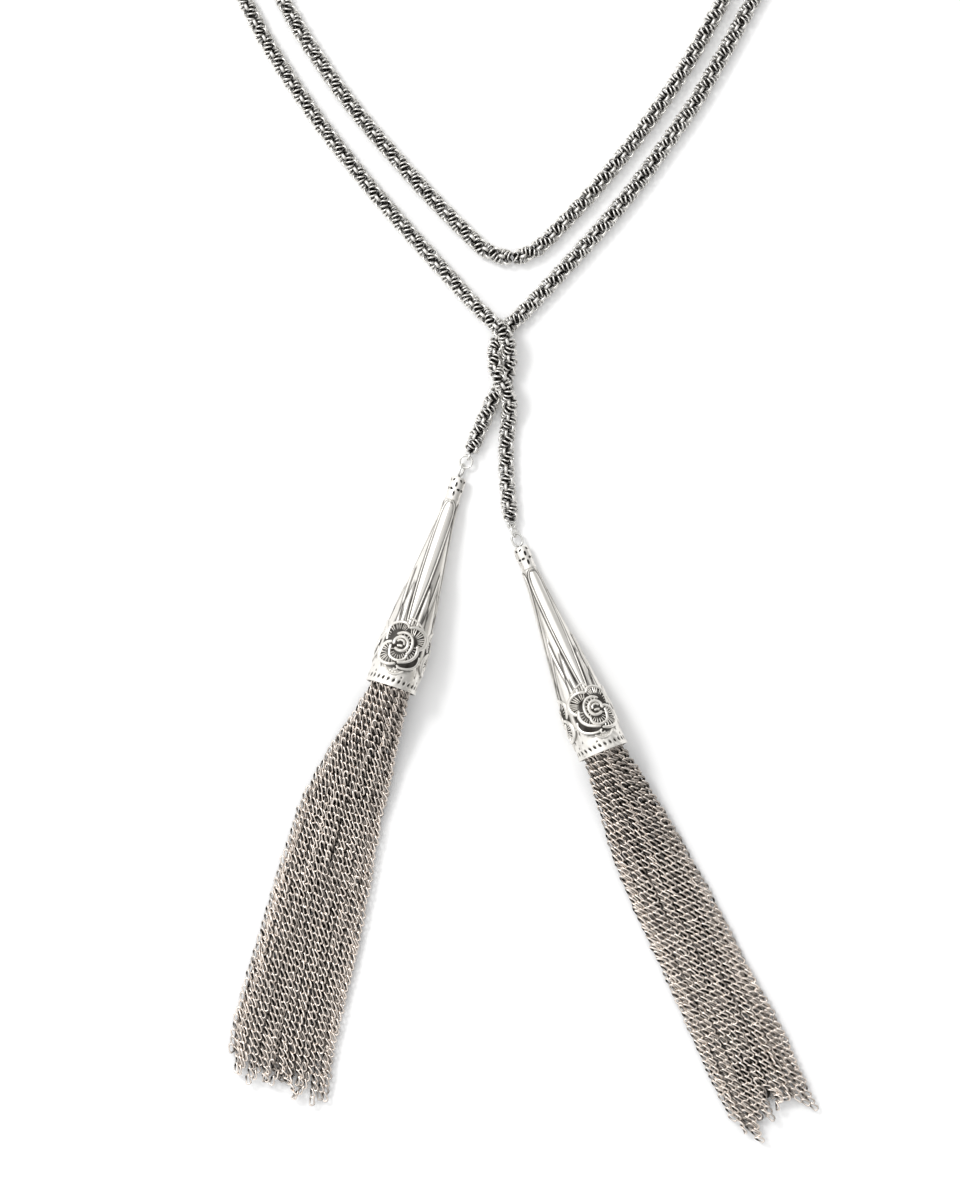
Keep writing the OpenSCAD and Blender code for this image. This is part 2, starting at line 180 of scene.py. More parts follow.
# Layers of chains from the top down. Columns: spacing, share of the tassel's height, how much
# shorter as a share of the length, how dark the painted shade makes the layer, link
LAYERS = [(1.75, 1.0, 0, 0, TOP_LINK),
          (2.1, 0.65, 0.02, 0.55, TOP_LINK),
          (2.6, 0.4, 0.06, 0.95, LOW_LINK)]
# By what share each layer is narrower than the one above it
NARROWER = 0.03
# From a tassel's edge to the middle of its outermost chain, and from the inside of the cone's mouth
# to the bundle of chains
EDGE_ROOM = 1.275
MOUTH_ROOM = 0.3
# How far inside the cone the chains begin, the points of a chain's path, and how many of them next
# to each other it is evened out over
START_INSIDE = 3.0
PATH_POINTS = 220
EVENED_OVER = 9
# Shares of the length: how far the longest chains reach past the ends given below, and how
# uneven they are
REACH = 0.025
UNEVEN = 0.03
# How far the ends of the chains curl sideways, and over what length
CURL = 3.2
CURL_L = 9.0
# How much the chains differ in roll, how much each link does from its neighbour on the way along a
# chain, how much each does by itself, and how much it swings, all in degrees
CHAIN_ROLL = 10
ROLL_DRIFT = 4
LOOSE_ROLL = 12
LOOSE_SWING = 6
# How far a link lies beside its chain's path
LOOSE_PLACE = 0.12
# How dark painted shade makes a chain at half its height, and over what height that changes from bright to
# black
HALFWAY_DARK = 0.38
DARK_OVER = 0.36
# Columns: share of the length, drift as a share of the length, share of the width, share of the
# way down
LEFT_SPREAD = [(0, 0, 0.415, 0), (0.07, -0.005, 0.5, 0.25), (0.16, -0.014, 0.65, 0.55),
               (0.33, -0.022, 0.85, 0.85), (0.5, -0.011, 0.95, 0.95), (0.66, 0.002, 1, 1),
               (0.86, 0.012, 1.05, 1), (1, 0.029, 1.1, 1)]
RIGHT_SPREAD = [(0, 0, 0.48, 0), (0.06, 0.003, 0.58, 0.25), (0.13, 0.006, 0.66, 0.55),
                (0.26, 0.011, 0.84, 0.85), (0.4, 0.018, 0.9, 0.95), (0.54, 0.029, 0.93, 1),
                (0.82, 0.05, 1, 1), (1, 0.058, 0.98, 1)]
# Where the chains end across the tassel, from its left edge to its right
LEFT_ENDS = [0.95, 1, 0.995, 0.985, 0.975, 0.99, 0.985, 1, 0.99]
RIGHT_ENDS = [0.935, 1, 0.985, 0.965, 0.955, 0.945, 0.94, 0.96, 0.985]
# The head inside the cone, how far it stays from the cone's outside, its pin, and the pin's oval
# eye with its turn about the cone's axis in degrees
HEAD_L = 9.0
HEAD_ROOM = 1.1
PIN_D = 1.0
PIN_EYE_W = 3.4
PIN_EYE_WIRE = 0.6
PIN_EYE_STRAIGHT = 0.8
PIN_EYE_ROLL = {"left": 20, "right": 90}

# A path's direction is taken from so far behind each place to so far ahead of it, in mm
DIRECTION_SPAN = 0.3


# Meshes

def make_mesh(name, verts, faces, attributes=None):
    """A smooth-shaded object from points in mm; attributes are one number a point."""
    mesh = bpy.data.meshes.new(name)
    mesh.from_pydata((np.asarray(verts, float) * mm).tolist(), [], [list(f) for f in faces])
    mesh.update()
    mesh.polygons.foreach_set("use_smooth", [True] * len(mesh.polygons))
    for key, values in (attributes or {}).items():
        layer = mesh.attributes.new(key, "FLOAT", "POINT")
        layer.data.foreach_set("value", np.asarray(values, np.float32))
    obj = bpy.data.objects.new(name, mesh)
    bpy.context.scene.collection.objects.link(obj)
    return obj


def dress(obj, material, slot, *nodes):
    """Gives an object its material, puts it under the root body and hides the solids that it replaces."""
    obj.data.materials.append(material)
    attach(obj, "root")
    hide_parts(*nodes)


def grid_faces(rows, columns, close_rows=False):
    """Faces of rows of points, each row closed in itself."""
    faces = []
    for i in range(rows if close_rows else rows - 1):
        for k in range(columns):
            i2 = (i + 1) % rows
            k2 = (k + 1) % columns
            faces.append((i * columns + k, i * columns + k2, i2 * columns + k2, i2 * columns + k))
    return faces


def moved_faces(faces, by):
    """Faces of points that come so many places later in a longer list."""
    return [tuple(int(i) + by for i in face) for face in faces]


def wire_loop(radius, wire, steps, sides, stretch=0.0, flat=1.0):
    """A closed wire in the XY plane, oval along X when stretched, and where each point faces."""
    points = []
    outward = []
    for i in range(steps):
        a = 2 * math.pi * (i + 0.5) / steps
        middle = np.array([radius * math.cos(a) + math.copysign(stretch / 2, math.cos(a)),
                           radius * math.sin(a), 0])
        out = np.array([math.cos(a), math.sin(a), 0])
        for k in range(sides):
            b = 2 * math.pi * k / sides
            points.append(middle + out * wire / 2 * math.cos(b)
                          + np.array([0, 0, flat * wire / 2 * math.sin(b)]))
            outward.append(math.cos(b))
    return np.array(points), np.array(outward), grid_faces(steps, sides, close_rows=True)


def copies(template, centres, turns):
    """Points and faces of a template placed many times: turns hold the local axes as columns."""
    points, _, faces = template
    placed = np.einsum("nij,pj->npi", turns, points) + centres[:, None, :]
    shift = np.arange(len(centres))[:, None, None] * len(points)
    all_faces = np.array(faces)[None, :, :] + shift
    return placed.reshape(-1, 3), all_faces.reshape(-1, 4)


def rotated(x, y, degrees):
    """Both coordinates after a turn in their plane."""
    turn = np.radians(degrees)
    return x * np.cos(turn) - y * np.sin(turn), x * np.sin(turn) + y * np.cos(turn)


def direction(azimuth):
    """The way along the surface, for a heading in degrees from +X."""
    return np.array([math.cos(math.radians(azimuth)), math.sin(math.radians(azimuth)), 0])


def unit(v):
    v = np.asarray(v, float)
    return v / np.linalg.norm(v, axis=-1, keepdims=True)


# Paths

class Path:
    """A curve through points, measured by its length."""

    def __init__(self, points):
        self.points = np.asarray(points, float)
        steps = np.linalg.norm(np.diff(self.points, axis=0), axis=1)
        self.marks = np.concatenate([[0], np.cumsum(steps)])
        self.length = self.marks[-1]

    def at(self, s):
        return np.stack([np.interp(s, self.marks, self.points[:, c]) for c in range(3)], axis=-1)

    def frames(self, s):
        """Places, directions, and the side and up vectors across them."""
        s = np.asarray(s, float)
        ahead = np.minimum(s + DIRECTION_SPAN, self.length)
        behind = np.maximum(s - DIRECTION_SPAN, 0)
        along = unit(self.at(ahead) - self.at(behind))
        side = unit(np.cross([0, 0, 1], along))
        return self.at(s), along, side, np.cross(along, side)


def curve_through(points, steps):
    """Smooth curve through points, with so many steps from each to the next."""
    p = np.array([points[0], *points, points[-1]], float)
    found = []
    for a, b, c, d in zip(p, p[1:], p[2:], p[3:]):
        for t in np.arange(steps) / steps:
            found.append(0.5 * (2 * b + (c - a) * t + (2 * a - 5 * b + 4 * c - d) * t * t
                                + (3 * b - a - 3 * c + d) * t ** 3))
    return np.array(found + [p[-1]])


def rope_path(route):
    """The same curve through the route's points as in the solid rope."""
    points = [(x, y, ROPE_D / 2 + level * STRAND_STEP) for x, y, level in route]
    return Path(curve_through(points, ROUTE_STEPS))


# Materials

def silver(name, bright, dark, roughness, grain=900.0, grain_depth=0.15):
    """Antique silver plate, dark where the attribute "recess" says so: painted shade on the chains,
    rings and pins, in the crown and inside the cones, and the dark grooves and hollows of the cast relief.
    """
    material = bpy.data.materials.new(name)
    material.use_nodes = True
    nodes = material.node_tree.nodes
    links = material.node_tree.links
    shader = nodes["Principled BSDF"]
    shader.inputs["Metallic"].default_value = 1.0
    recess = nodes.new("ShaderNodeAttribute")
    recess.attribute_name = "recess"
    place = nodes.new("ShaderNodeTexCoord")
    patches = nodes.new("ShaderNodeTexNoise")
    patches.inputs["Scale"].default_value = PATCH_SCALE
    patches.inputs["Detail"].default_value = 4.0
    links.new(place.outputs["Object"], patches.inputs["Vector"])
    # Patchy edge of the darkening that "recess" paints
    uneven = nodes.new("ShaderNodeMath")
    uneven.operation = "MULTIPLY_ADD"
    uneven.inputs[1].default_value = PATCHINESS
    links.new(patches.outputs["Fac"], uneven.inputs[0])
    shifted = nodes.new("ShaderNodeMath")
    shifted.operation = "SUBTRACT"
    shifted.inputs[1].default_value = PATCHINESS / 2
    links.new(recess.outputs["Fac"], shifted.inputs[0])
    links.new(shifted.outputs[0], uneven.inputs[2])
    tone = nodes.new("ShaderNodeValToRGB")
    tone.color_ramp.elements[0].color = (*bright, 1)
    tone.color_ramp.elements[1].color = (*dark, 1)
    links.new(uneven.outputs[0], tone.inputs["Fac"])
    links.new(tone.outputs["Color"], shader.inputs["Base Color"])
    gloss = nodes.new("ShaderNodeMapRange")
    gloss.inputs["To Min"].default_value = roughness
    gloss.inputs["To Max"].default_value = DARK_ROUGHNESS
    links.new(uneven.outputs[0], gloss.inputs["Value"])
    links.new(gloss.outputs["Result"], shader.inputs["Roughness"])
    fine = nodes.new("ShaderNodeTexNoise")
    fine.inputs["Scale"].default_value = grain
    fine.inputs["Detail"].default_value = 3.0
    links.new(place.outputs["Object"], fine.inputs["Vector"])
    bump = nodes.new("ShaderNodeBump")
    bump.inputs["Strength"].default_value = grain_depth
    bump.inputs["Distance"].default_value = GRAIN_HEIGHT
    links.new(fine.outputs["Fac"], bump.inputs["Height"])
    links.new(bump.outputs["Normal"], shader.inputs["Normal"])
    return material


ROPE_SILVER = silver("rope_silver", (0.87, 0.85, 0.81), (0.02, 0.018, 0.016), 0.26)
CHAIN_SILVER = silver("chain_silver", (0.95, 0.865, 0.79), (0.012, 0.01, 0.008), 0.28)
CAST_SILVER = silver("cast_silver", (0.83, 0.805, 0.76), (0.03, 0.026, 0.022), 0.33, 700.0, 0.3)
RING_SILVER = silver("ring_silver", (0.80, 0.79, 0.76), (0.04, 0.04, 0.035), 0.2)


# Rope chain

def weave(path, start, end):
    """Rings of the rope between two distances along it, with the painted shade of each point, darker the
    deeper it lies.
    """
    stack = wire_loop((RING_OD - RING_WIRE) / 2, RING_WIRE, RING_STEPS, WIRE_SIDES)
    rung = wire_loop((RING_OD - RING_WIRE) / 2, RING_WIRE, RING_STEPS, WIRE_SIDES, flat=RUNG_FLAT)
    strands = [(STACK_STEP, stack, True, 0.0), (RUNG_STEP, rung, False, 90.0)]
    offset = (WOVEN_D - RING_OD) / 2
    woven = path.length - 2 * END_ROOM
    verts = []
    faces = []
    depth = []
    for step, template, crosswise, quarter in strands:
        count = int(round(woven / step))
        s = END_ROOM + (np.arange(count) + 0.5) * woven / count
        s = s[(s >= start) & (s < end)]
        for strand in (0.0, 180.0):
            turn = np.radians(360 * s / WEAVE_PITCH + quarter + strand)
            place, along, side, up = path.frames(s)
            turn = turn + np.radians(random.normal(0, LOOSE_TURN, len(s)))
            radial = np.cos(turn)[:, None] * side + np.sin(turn)[:, None] * up
            across = np.cross(along, radial)
            if crosswise:
                tilt = np.radians(random.normal(STACK_TILT, LOOSE_TILT, len(s)))[:, None]
                axis = np.cos(tilt) * along + np.sin(tilt) * across
            else:
                axis = across
            turns = np.stack([radial, np.cross(axis, radial), axis], axis=2)
            wide = ROPE_SPREAD * smooth_step((SPREAD_FROM - place[:, 1]) / SPREAD_OVER)[:, None]
            centre = place + offset * (radial + wide * np.cos(turn)[:, None] * side)
            placed, placed_faces = copies(template, centre, turns)
            base = sum(len(v) for v in verts)
            verts.append(placed)
            faces.append(placed_faces + base)
            # Painted shade: bright on the outside of the rope, dark towards its middle, where the rings
            # shade each other
            apart = placed.reshape(len(s), -1, 3) - place[:, None, :]
            apart -= np.einsum("npi,ni->np", apart, along)[:, :, None] * along[:, None, :]
            out = np.linalg.norm(apart, axis=2) / (ROPE_D / 2)
            depth.append(np.clip((BRIGHT_FROM - out) / DARKENS_OVER, 0, 1).ravel())
    return np.concatenate(verts), np.concatenate(faces), np.concatenate(depth)


def end_eye(path, roll, name, node):
    """The last link of a rope end, where the solid rope has it."""
    place, along, side, up = path.frames(np.array([0.0]))
    outward = -along[0]
    centre = place[0] + outward * (EYE_D - EYE_WIRE) / 2
    axis = math.cos(math.radians(roll)) * side[0] + math.sin(math.radians(roll)) * up[0]
    template = wire_loop((EYE_D - EYE_WIRE) / 2, EYE_WIRE, EYE_STEPS, EYE_SIDES)
    turns = np.stack([outward, np.cross(axis, outward), axis], axis=1)[None]
    verts, faces = copies(template, centre[None], turns)
    # Painted shade on the inner side of the eye's wire
    eye = make_mesh(name, verts, faces, {"recess": 0.25 - 0.25 * template[1]})
    dress(eye, RING_SILVER, "rope_chain", node)


def rope_chain(side_name, route, roll):
    """One half of the rope, in two pieces, with its end's eye."""
    path = rope_path(route)
    node = f"rope_chain_{side_name}_half"
    middle = path.length / 2
    for part, start, end in (("front", 0, middle), ("back", middle, path.length)):
        verts, faces, depth = weave(path, start, end)
        obj = make_mesh(f"rope_{side_name}_{part}", verts, faces, {"recess": depth})
        dress(obj, ROPE_SILVER, "rope_chain", node)
    end_eye(path, roll, f"rope_{side_name}_eye", node)


# Cones

def cone_frame(node, azimuth):
    """Middle of the crown's top and the cone's own axes, found from the rim of the solid cone.

    Axes: down towards the surface, across, and along from the crown to the rim."""
    heading = direction(azimuth)
    points = np.array([v.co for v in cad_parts[node].data.vertices]) / mm
    ahead = points @ heading
    rim = np.unique(np.round(points[ahead > ahead.max() - RIM_SLICE], 3), axis=0)
    middle = (rim.min(axis=0) + rim.max(axis=0)) / 2
    along = np.linalg.svd(rim - rim.mean(axis=0))[2][2]
    along = along * np.sign(along @ heading)
    across = unit(np.cross([0, 0, 1], along))
    down = np.cross(across, along)
    return middle - CONE_L * along, np.stack([down, across, along], axis=1)


def cone_radius(z):
    shares, grown = np.array(CONE_OUTLINE).T
    return NECK_R + (RIM_R - NECK_R) * np.interp(z / CONE_L, shares, grown)


def bell(distance, width):
    return np.exp(-(distance / width) ** 2)


def smooth_step(x):
    x = np.clip(x, 0, 1)
    return x * x * (3 - 2 * x)


def in_third(angle):
    """Degrees from the nearest rose's middle."""
    return (angle + 60) % 120 - 60


# Long petals. Columns: distance from the crown's top, half width in degrees
FRONT_PETAL = [(6.7, 0), (7.1, 22), (7.8, 40), (9, 50), (11, 54), (15, 47), (20, 38), (28, 27),
               (36, 17), (46, 7)]
SIDE_PETAL = [(27.5, 0), (29.5, 5), (32, 9), (36, 16), (40, 23), (46, 31), (50, 34)]
SHORT_PETAL = [(32, 0), (34, 4), (37, 7), (41, 10), (46, 13), (50, 14)]
# Columns: outline, middle in degrees from the rose, width of the raised border, height of the midrib
LONG_PETALS = [(FRONT_PETAL, 0, 0.55, 0.16),
               (SIDE_PETAL, 60, 0.85, 0.1), (SIDE_PETAL, -60, 0.85, 0.1),
               (SHORT_PETAL, 29, 0.95, 0.1), (SHORT_PETAL, -29, 0.95, 0.1)]


def long_petals(third, z):
    """Height of the long petals above the body, and how dark their borders are."""
    height = np.zeros_like(z)
    dark = np.zeros_like(z)
    for outline, middle, border, rib in LONG_PETALS:
        places, halves = np.array(outline, float).T
        half = np.interp(z, places, halves)
        off = np.abs((third - middle + 180) % 360 - 180)
        radius = cone_radius(z)
        inside = np.minimum(np.radians(half - off) * radius, (z - places[0]) * 0.7)
        from_middle = np.radians(off) * radius
        shown = (half > 0) * smooth_step(inside / 0.16 + 0.5)
        rim = 0.13 * bell(inside - border / 2, border / 3)
        groove = -0.14 * bell(inside - border, 0.16)
        roof = rib * np.exp(-from_middle / 0.7) - 0.07 * smooth_step(from_middle / 2)
        height = np.maximum(height, shown * (PETAL_H - 0.1 + rim + groove + roof))
        line = (half > 0) * (bell(inside + 0.2, 0.24) + 0.85 * bell(inside - border, 0.16))
        dark = np.maximum(dark, line)
    return height, dark


# Punched marks of the band. Dashes in a row round the rim, their place above it, half size along
# the axis and around, and how far they lean
DASHES = 28
DASH_ROW = 1.75
DASH_SIZE = (0.5, 0.34)
DASH_LEAN = 0.35
# Columns: degrees from the rose, distance below the rose's middle
BAND_DOTS = [(8, 7.6), (-8, 7.7), (36, 6.6), (-36, 6.4), (58, 6.8), (58, 4.2), (50, 3.6),
             (-50, 3.8), (-46, 8), (22, 8.1)]


def punched(angle, z):
    """Where the marks are: 1 in their middle, 0 outside."""
    around = np.radians(angle % (360 / DASHES) - 180 / DASHES) * RIM_R
    up = CONE_L - DASH_ROW - z
    oval = np.hypot(up / DASH_SIZE[0], (around - DASH_LEAN * up) / DASH_SIZE[1])
    mark = smooth_step(1.6 - oval)
    third = in_third(angle)
    for side, below in BAND_DOTS:
        oval = np.hypot((z - ROSE_AT - below) / 0.24, np.radians(third - side) * RIM_R / 0.3)
        mark = np.maximum(mark, smooth_step(1.5 - oval))
    return mark


def hammered(angle, z):
    """Shallow dents of a hammered surface."""
    a = np.radians(angle)
    broad = np.sin(5 * a + 1.3 * z) * np.sin(9 * a - 0.9 * z + 1.0)
    return 0.05 * broad + 0.03 * np.sin(17 * a + 2.1 * z + 2.0)


def cone_skin(angle, z):
    """Radius and darkness of the cone's outside. Angle 0 is the front rose."""
    third = in_third(angle)
    petals, dark = long_petals(third, z)
    faded = 1 - smooth_step((z - ROSE_AT - 1) / 3)
    below = z - ROSE_AT
    across = np.radians(third) * (cone_radius(z) + 0.4)
    out = (np.abs(across) ** 3 + np.abs(below) ** 3) ** (1 / 3)
    under_rose = smooth_step((ROSE_REACH - out) / 0.8)
    dome = 0.25 + 0.5 * np.clip(1 - (out / ROSE_REACH) ** 2, 0, 1)
    band = smooth_step((below - BAND_BELOW) / 0.6)
    lip = LIP_RISE * bell(CONE_L - z - 0.3, 0.35)
    marks = punched(angle, z) * (below > 3)
    low = smooth_step((below - 3) / 3)
    radius = (cone_radius(z) + petals * faded * (1 - under_rose) + dome * under_rose
              + BAND_RISE * band + lip - MARK_DEPTH * marks + low * hammered(angle, z))
    darkness = dark * faded * (1 - under_rose) + 0.95 * under_rose + 1.1 * marks
    return radius, np.clip(darkness, 0, 1)


# Columns of points round the body, with twice as many in the band at the rim, and the band's length
BODY_COLUMNS = 240
BAND_L = 4.2


def front_to_local(radius, angle, z):
    """Cone points: the front, at angle 0, faces away from the surface that the cone lies on."""
    a = np.radians(angle)
    return np.stack([-radius * np.cos(a), radius * np.sin(a), z + 0 * a], axis=-1)


def lathe(profile, columns):
    """Points of a profile of radii and heights, turned about the cone's axis."""
    angle = np.arange(columns) * 360 / columns
    return np.concatenate([front_to_local(r, angle, np.full(columns, z)) for r, z in profile])


def petal_columns(z, columns):
    """Angles of the columns at one height: crowded at the borders of the long petals, and even
    again past the middle of the roses."""
    front = max(np.interp(z, *np.array(FRONT_PETAL, float).T), 4)
    side = 60 - np.interp(z, *np.array(SIDE_PETAL, float).T)
    share = np.arange(columns // 6) / (columns // 6)
    # Shares of the columns up to the front petal's border, and up to the side petal's
    at_front, at_side = 0.45, 0.72
    way = (share - at_front) / (at_side - at_front)
    past = (share - at_side) / (1 - at_side)
    crowded = np.where(share < at_front, front * np.sin(share / at_front * math.pi / 2),
                       np.where(share < at_side, front + (side - front) * (1 - np.cos(way * math.pi)) / 2,
                                side + (60 - side) * (1 - np.cos(past * math.pi / 2))))
    even = smooth_step((z - ROSE_AT + 7) / 6)
    half = crowded * (1 - even) + 60 * share * even
    mirrored_half = 120 - np.append(half[1:], 60)[::-1]
    third = np.concatenate([half, mirrored_half])
    return np.concatenate([third, third + 120, third + 240])


def skin_rows(z_rows, columns, crowded=False):
    """Points of the cone's outside at rows of heights, with their darkness."""
    even = np.arange(columns) * 360 / columns
    grid_a = np.stack([petal_columns(z, columns) if crowded else even for z in z_rows])
    grid_z = np.repeat(z_rows[:, None], columns, axis=1)
    radius, dark = cone_skin(grid_a, grid_z)
    return front_to_local(radius, grid_a, grid_z).reshape(-1, 3), dark.ravel()


def cone_body():
    """Outside, with a band of twice as many columns at the rim, and the plain inside."""
    top = CROWN_L - 0.6
    body_z = np.concatenate([np.linspace(top, 12, 14), np.linspace(12, ROSE_AT - 7.5, 24)[1:],
                             np.linspace(ROSE_AT - 7.5, CONE_L - BAND_L, 22)[1:]])
    band_z = np.linspace(CONE_L - BAND_L, CONE_L, 16)
    outside, outside_dark = skin_rows(body_z, BODY_COLUMNS, crowded=True)
    band, band_dark = skin_rows(band_z, 2 * BODY_COLUMNS)
    wall_z = np.array([CONE_L, CONE_L - 0.05, CONE_L - 8, CONE_L / 2, top])
    n = BODY_COLUMNS
    grid_z, grid_a = np.meshgrid(wall_z, np.arange(n) * 360 / n, indexing="ij")
    inner_r = cone_radius(grid_z) - WALL
    inner_r[0] += 0.1
    inside = front_to_local(inner_r, grid_a, grid_z).reshape(-1, 3)
    band_at = len(outside)
    inside_at = band_at + len(band)
    faces = grid_faces(len(body_z), n)
    faces += moved_faces(grid_faces(len(band_z), 2 * n), band_at)
    faces += moved_faces(grid_faces(len(wall_z), n), inside_at)
    body_end = band_at - n
    band_end = inside_at - 2 * n
    inside_end = inside_at + (len(wall_z) - 1) * n
    for k in range(n):
        after = (k + 1) % n
        faces.append((body_end + k, body_end + after,
                      band_at + 2 * after, band_at + 2 * k + 1, band_at + 2 * k))
        faces.append((band_end + 2 * k, band_end + 2 * k + 1, band_end + 2 * after,
                      inside_at + after, inside_at + k))
        faces.append((inside_end + k, inside_end + after, after, k))
    verts = np.concatenate([outside, band, inside])
    # The inside of the cone is painted evenly in shade
    return verts, faces, np.concatenate([outside_dark, band_dark, np.full(len(inside), 0.8)])


# A rose's rims, in mm across and up from its middle as seen from the front. Columns: height above
# the cone, half width, points
ROSE_RIMS = {
    "behind_top": (0.6, 0.34, [(-1, 6.6), (0.2, 7.7), (1.7, 7.5), (3.2, 6.8), (4.5, 5.8)]),
    "behind_side": (0.55, 0.34, [(5.3, 0.8), (6.1, 2), (6.8, 1.4), (7.1, 0), (6.8, -1.8), (6, -2.6),
                                 (5.4, -2)]),
    "bottom_tip": (0.55, 0.36, [(-3, -5.4), (-1.6, -6.6), (-0.1, -7.1), (1.4, -6.6), (2.4, -5.6)]),
    "bottom_curl": (0.7, 0.3, [(0.1, -4.7), (0.65, -5.3), (0.2, -5.9), (-0.5, -5.6)]),
    "bottom": (0.69, 0.36, [(5.2, -1), (5.4, -2.4), (4.7, -3.9), (3.1, -4.9), (1.2, -5.2), (0.3, -4.8)]),
    "upper": (0.84, 0.42, [(-4.6, 0.9), (-5.2, 2.8), (-5, 4.8), (-3.4, 5.9), (-1.6, 6.3), (-0.2, 6),
                           (0.4, 5.1)]),
    "side": (0.93, 0.44, [(0.5, 5.2), (2.2, 5.8), (4.2, 5.5), (5.5, 4.4), (5.8, 2.8), (5.3, 1.4),
                          (4.4, 0.6)]),
    "lower": (1.0, 0.44, [(-2.8, 0.8), (-4.2, 0.3), (-5.1, -0.9), (-5.3, -2.7), (-4.8, -4.2),
                          (-3.4, -4.9), (-1.7, -4.9), (-0.2, -4.3)]),
    "inner_side": (1.05, 0.44, [(3.9, 1.5), (4.3, 0.1), (4, -1.4), (3, -2.7), (1.6, -3.5), (0, -4)]),
    "middle_bottom": (1.15, 0.38, [(-2.9, 0), (-2.8, -1.5), (-2.2, -2.9), (-0.8, -3.5), (0.7, -3.3),
                                   (1.7, -2.4), (1.9, -1.2)]),
    "middle_top": (1.25, 0.4, [(-2.2, 2.9), (-0.6, 3.7), (1, 3.6), (2.1, 2.6), (2.5, 1), (2.2, -0.6),
                               (1.6, -1.5)]),
    "heart": (1.32, 0.46, [(-2.2, 0.1), (-2.2, 1.4), (-1.2, 2.4), (0.2, 2.5), (1.2, 1.6), (1.3, 0.3),
                           (0.7, -0.7), (-0.5, -1), (-1.7, -0.6)]),
    "heart_fold": (1.36, 0.34, [(-1.2, 0), (-0.6, 0.25), (0.2, 0.3)]),
    "heart_curl": (1.34, 0.32, [(-1.5, 1.1), (-0.8, 1.7), (0.2, 1.5), (0.5, 0.6)])}
RIM_STEPS = 5
# What the rims' places, heights and widths above are multiplied by
ROSE_SCALE = 1.1
ROSE_RISE = 0.87
RIM_WIDTH = 1.05
# Hatching inside the petals. Columns: rim, share of the rim at the first and last bar, bars, the
# point that they run to, share of the way, half width
ROSE_HATCH = [("upper", 0.06, 0.92, 12, (-1.6, 2.2), 0.8, 0.19),
              ("side", 0.06, 0.9, 12, (2, 2), 0.8, 0.19),
              ("bottom", 0.06, 0.9, 11, (1.2, -1.6), 0.6, 0.19),
              ("lower", 0.12, 0.9, 11, (-2.2, -1.6), 0.8, 0.19),
              ("behind_top", 0.1, 0.9, 7, (1.6, 4.6), 0.7, 0.17),
              ("behind_side", 0.1, 0.9, 8, (4.6, -0.6), 0.7, 0.17),
              ("bottom_tip", 0.1, 0.9, 7, (-0.2, -4.6), 0.7, 0.17),
              ("middle_bottom", 0.15, 0.88, 8, (-0.4, -0.6), 0.6, 0.17),
              ("inner_side", 0.1, 0.85, 8, (1.2, 0.2), 0.5, 0.17),
              ("middle_top", 0.1, 0.9, 8, (0, 1), 0.5, 0.17)]
# How far the bars stay below their petal's rim
HATCH_BELOW = 0.12


def on_cone(turn, flat, height):
    """Points of a rose, given as seen from its front, above the cone's body."""
    z = ROSE_AT - flat[..., 1]
    angle = np.degrees(np.arcsin(np.clip(flat[..., 0] / (cone_radius(ROSE_AT) + 0.9), -1, 1)))
    return front_to_local(cone_radius(z) + height, turn + angle, z)


def relief_line(turn, line, height, half, taper=False):
    """A rounded wall that stands on the cone along a line."""
    ahead = np.gradient(line, axis=0)
    side = unit(np.stack([-ahead[:, 1], ahead[:, 0]], axis=1))
    count = len(line)
    ends = np.sqrt(np.clip(np.minimum(np.arange(count), np.arange(count)[::-1]) / 1.5 + 0.25, 0, 1))
    if taper:
        ends = ends * np.linspace(1, 0.55, count)
    # Columns: share of the half width, height above the cone
    section = [(-1.1, -0.3), (-1.05, height - half), (-0.75, height - 0.35 * half), (0, height),
               (0.75, height - 0.35 * half), (1.05, height - half), (1.1, -0.3)]
    rows = [on_cone(turn, line + side * (w * half * ends)[:, None], h - (1 - ends) * 0.3 * (h > 0))
            for w, h in section]
    points = np.stack(rows, axis=1).reshape(-1, 3)
    n = len(section)
    faces = grid_faces(count, n)
    faces.append(tuple(range(n)))
    faces.append(tuple(range((count - 1) * n, count * n)))
    return points, faces, np.tile([1, 0.35, 0, 0, 0, 0.35, 1], count)


def rose(turn):
    """The parts of one rose."""
    parts = []
    for height, half, points in ROSE_RIMS.values():
        line = ROSE_SCALE * curve_through(points, RIM_STEPS)
        parts.append(relief_line(turn, line, ROSE_RISE * height, RIM_WIDTH * half))
    for rim, first, last, bars, foot, reach, half in ROSE_HATCH:
        height, _, points = ROSE_RIMS[rim]
        line = curve_through(points, RIM_STEPS)
        for share in np.linspace(first, last, bars):
            start = line[int(round(share * (len(line) - 1)))]
            bar = start + (np.array(foot) - start) * np.linspace(0.05, reach, 5)[:, None]
            parts.append(relief_line(turn, ROSE_SCALE * bar, ROSE_RISE * height - HATCH_BELOW,
                                     ROSE_SCALE * half, taper=True))
    return parts


# Slots of the pierced crown. Columns: share of the crown's length, degrees from the flower's
# middle, lean in degrees from the axis, length, width
CROWN_FLOWERS = 4
CROWN_SLOTS = [(0.36, 0, 0, 1.5, 0.76), (0.78, 0, 0, 1.6, 0.76), (0.58, 28, 90, 1.15, 0.74),
               (0.58, -28, 90, 1.15, 0.74), (0.16, 28, 50, 1.0, 0.62), (0.16, -28, -50, 1.0, 0.62)]


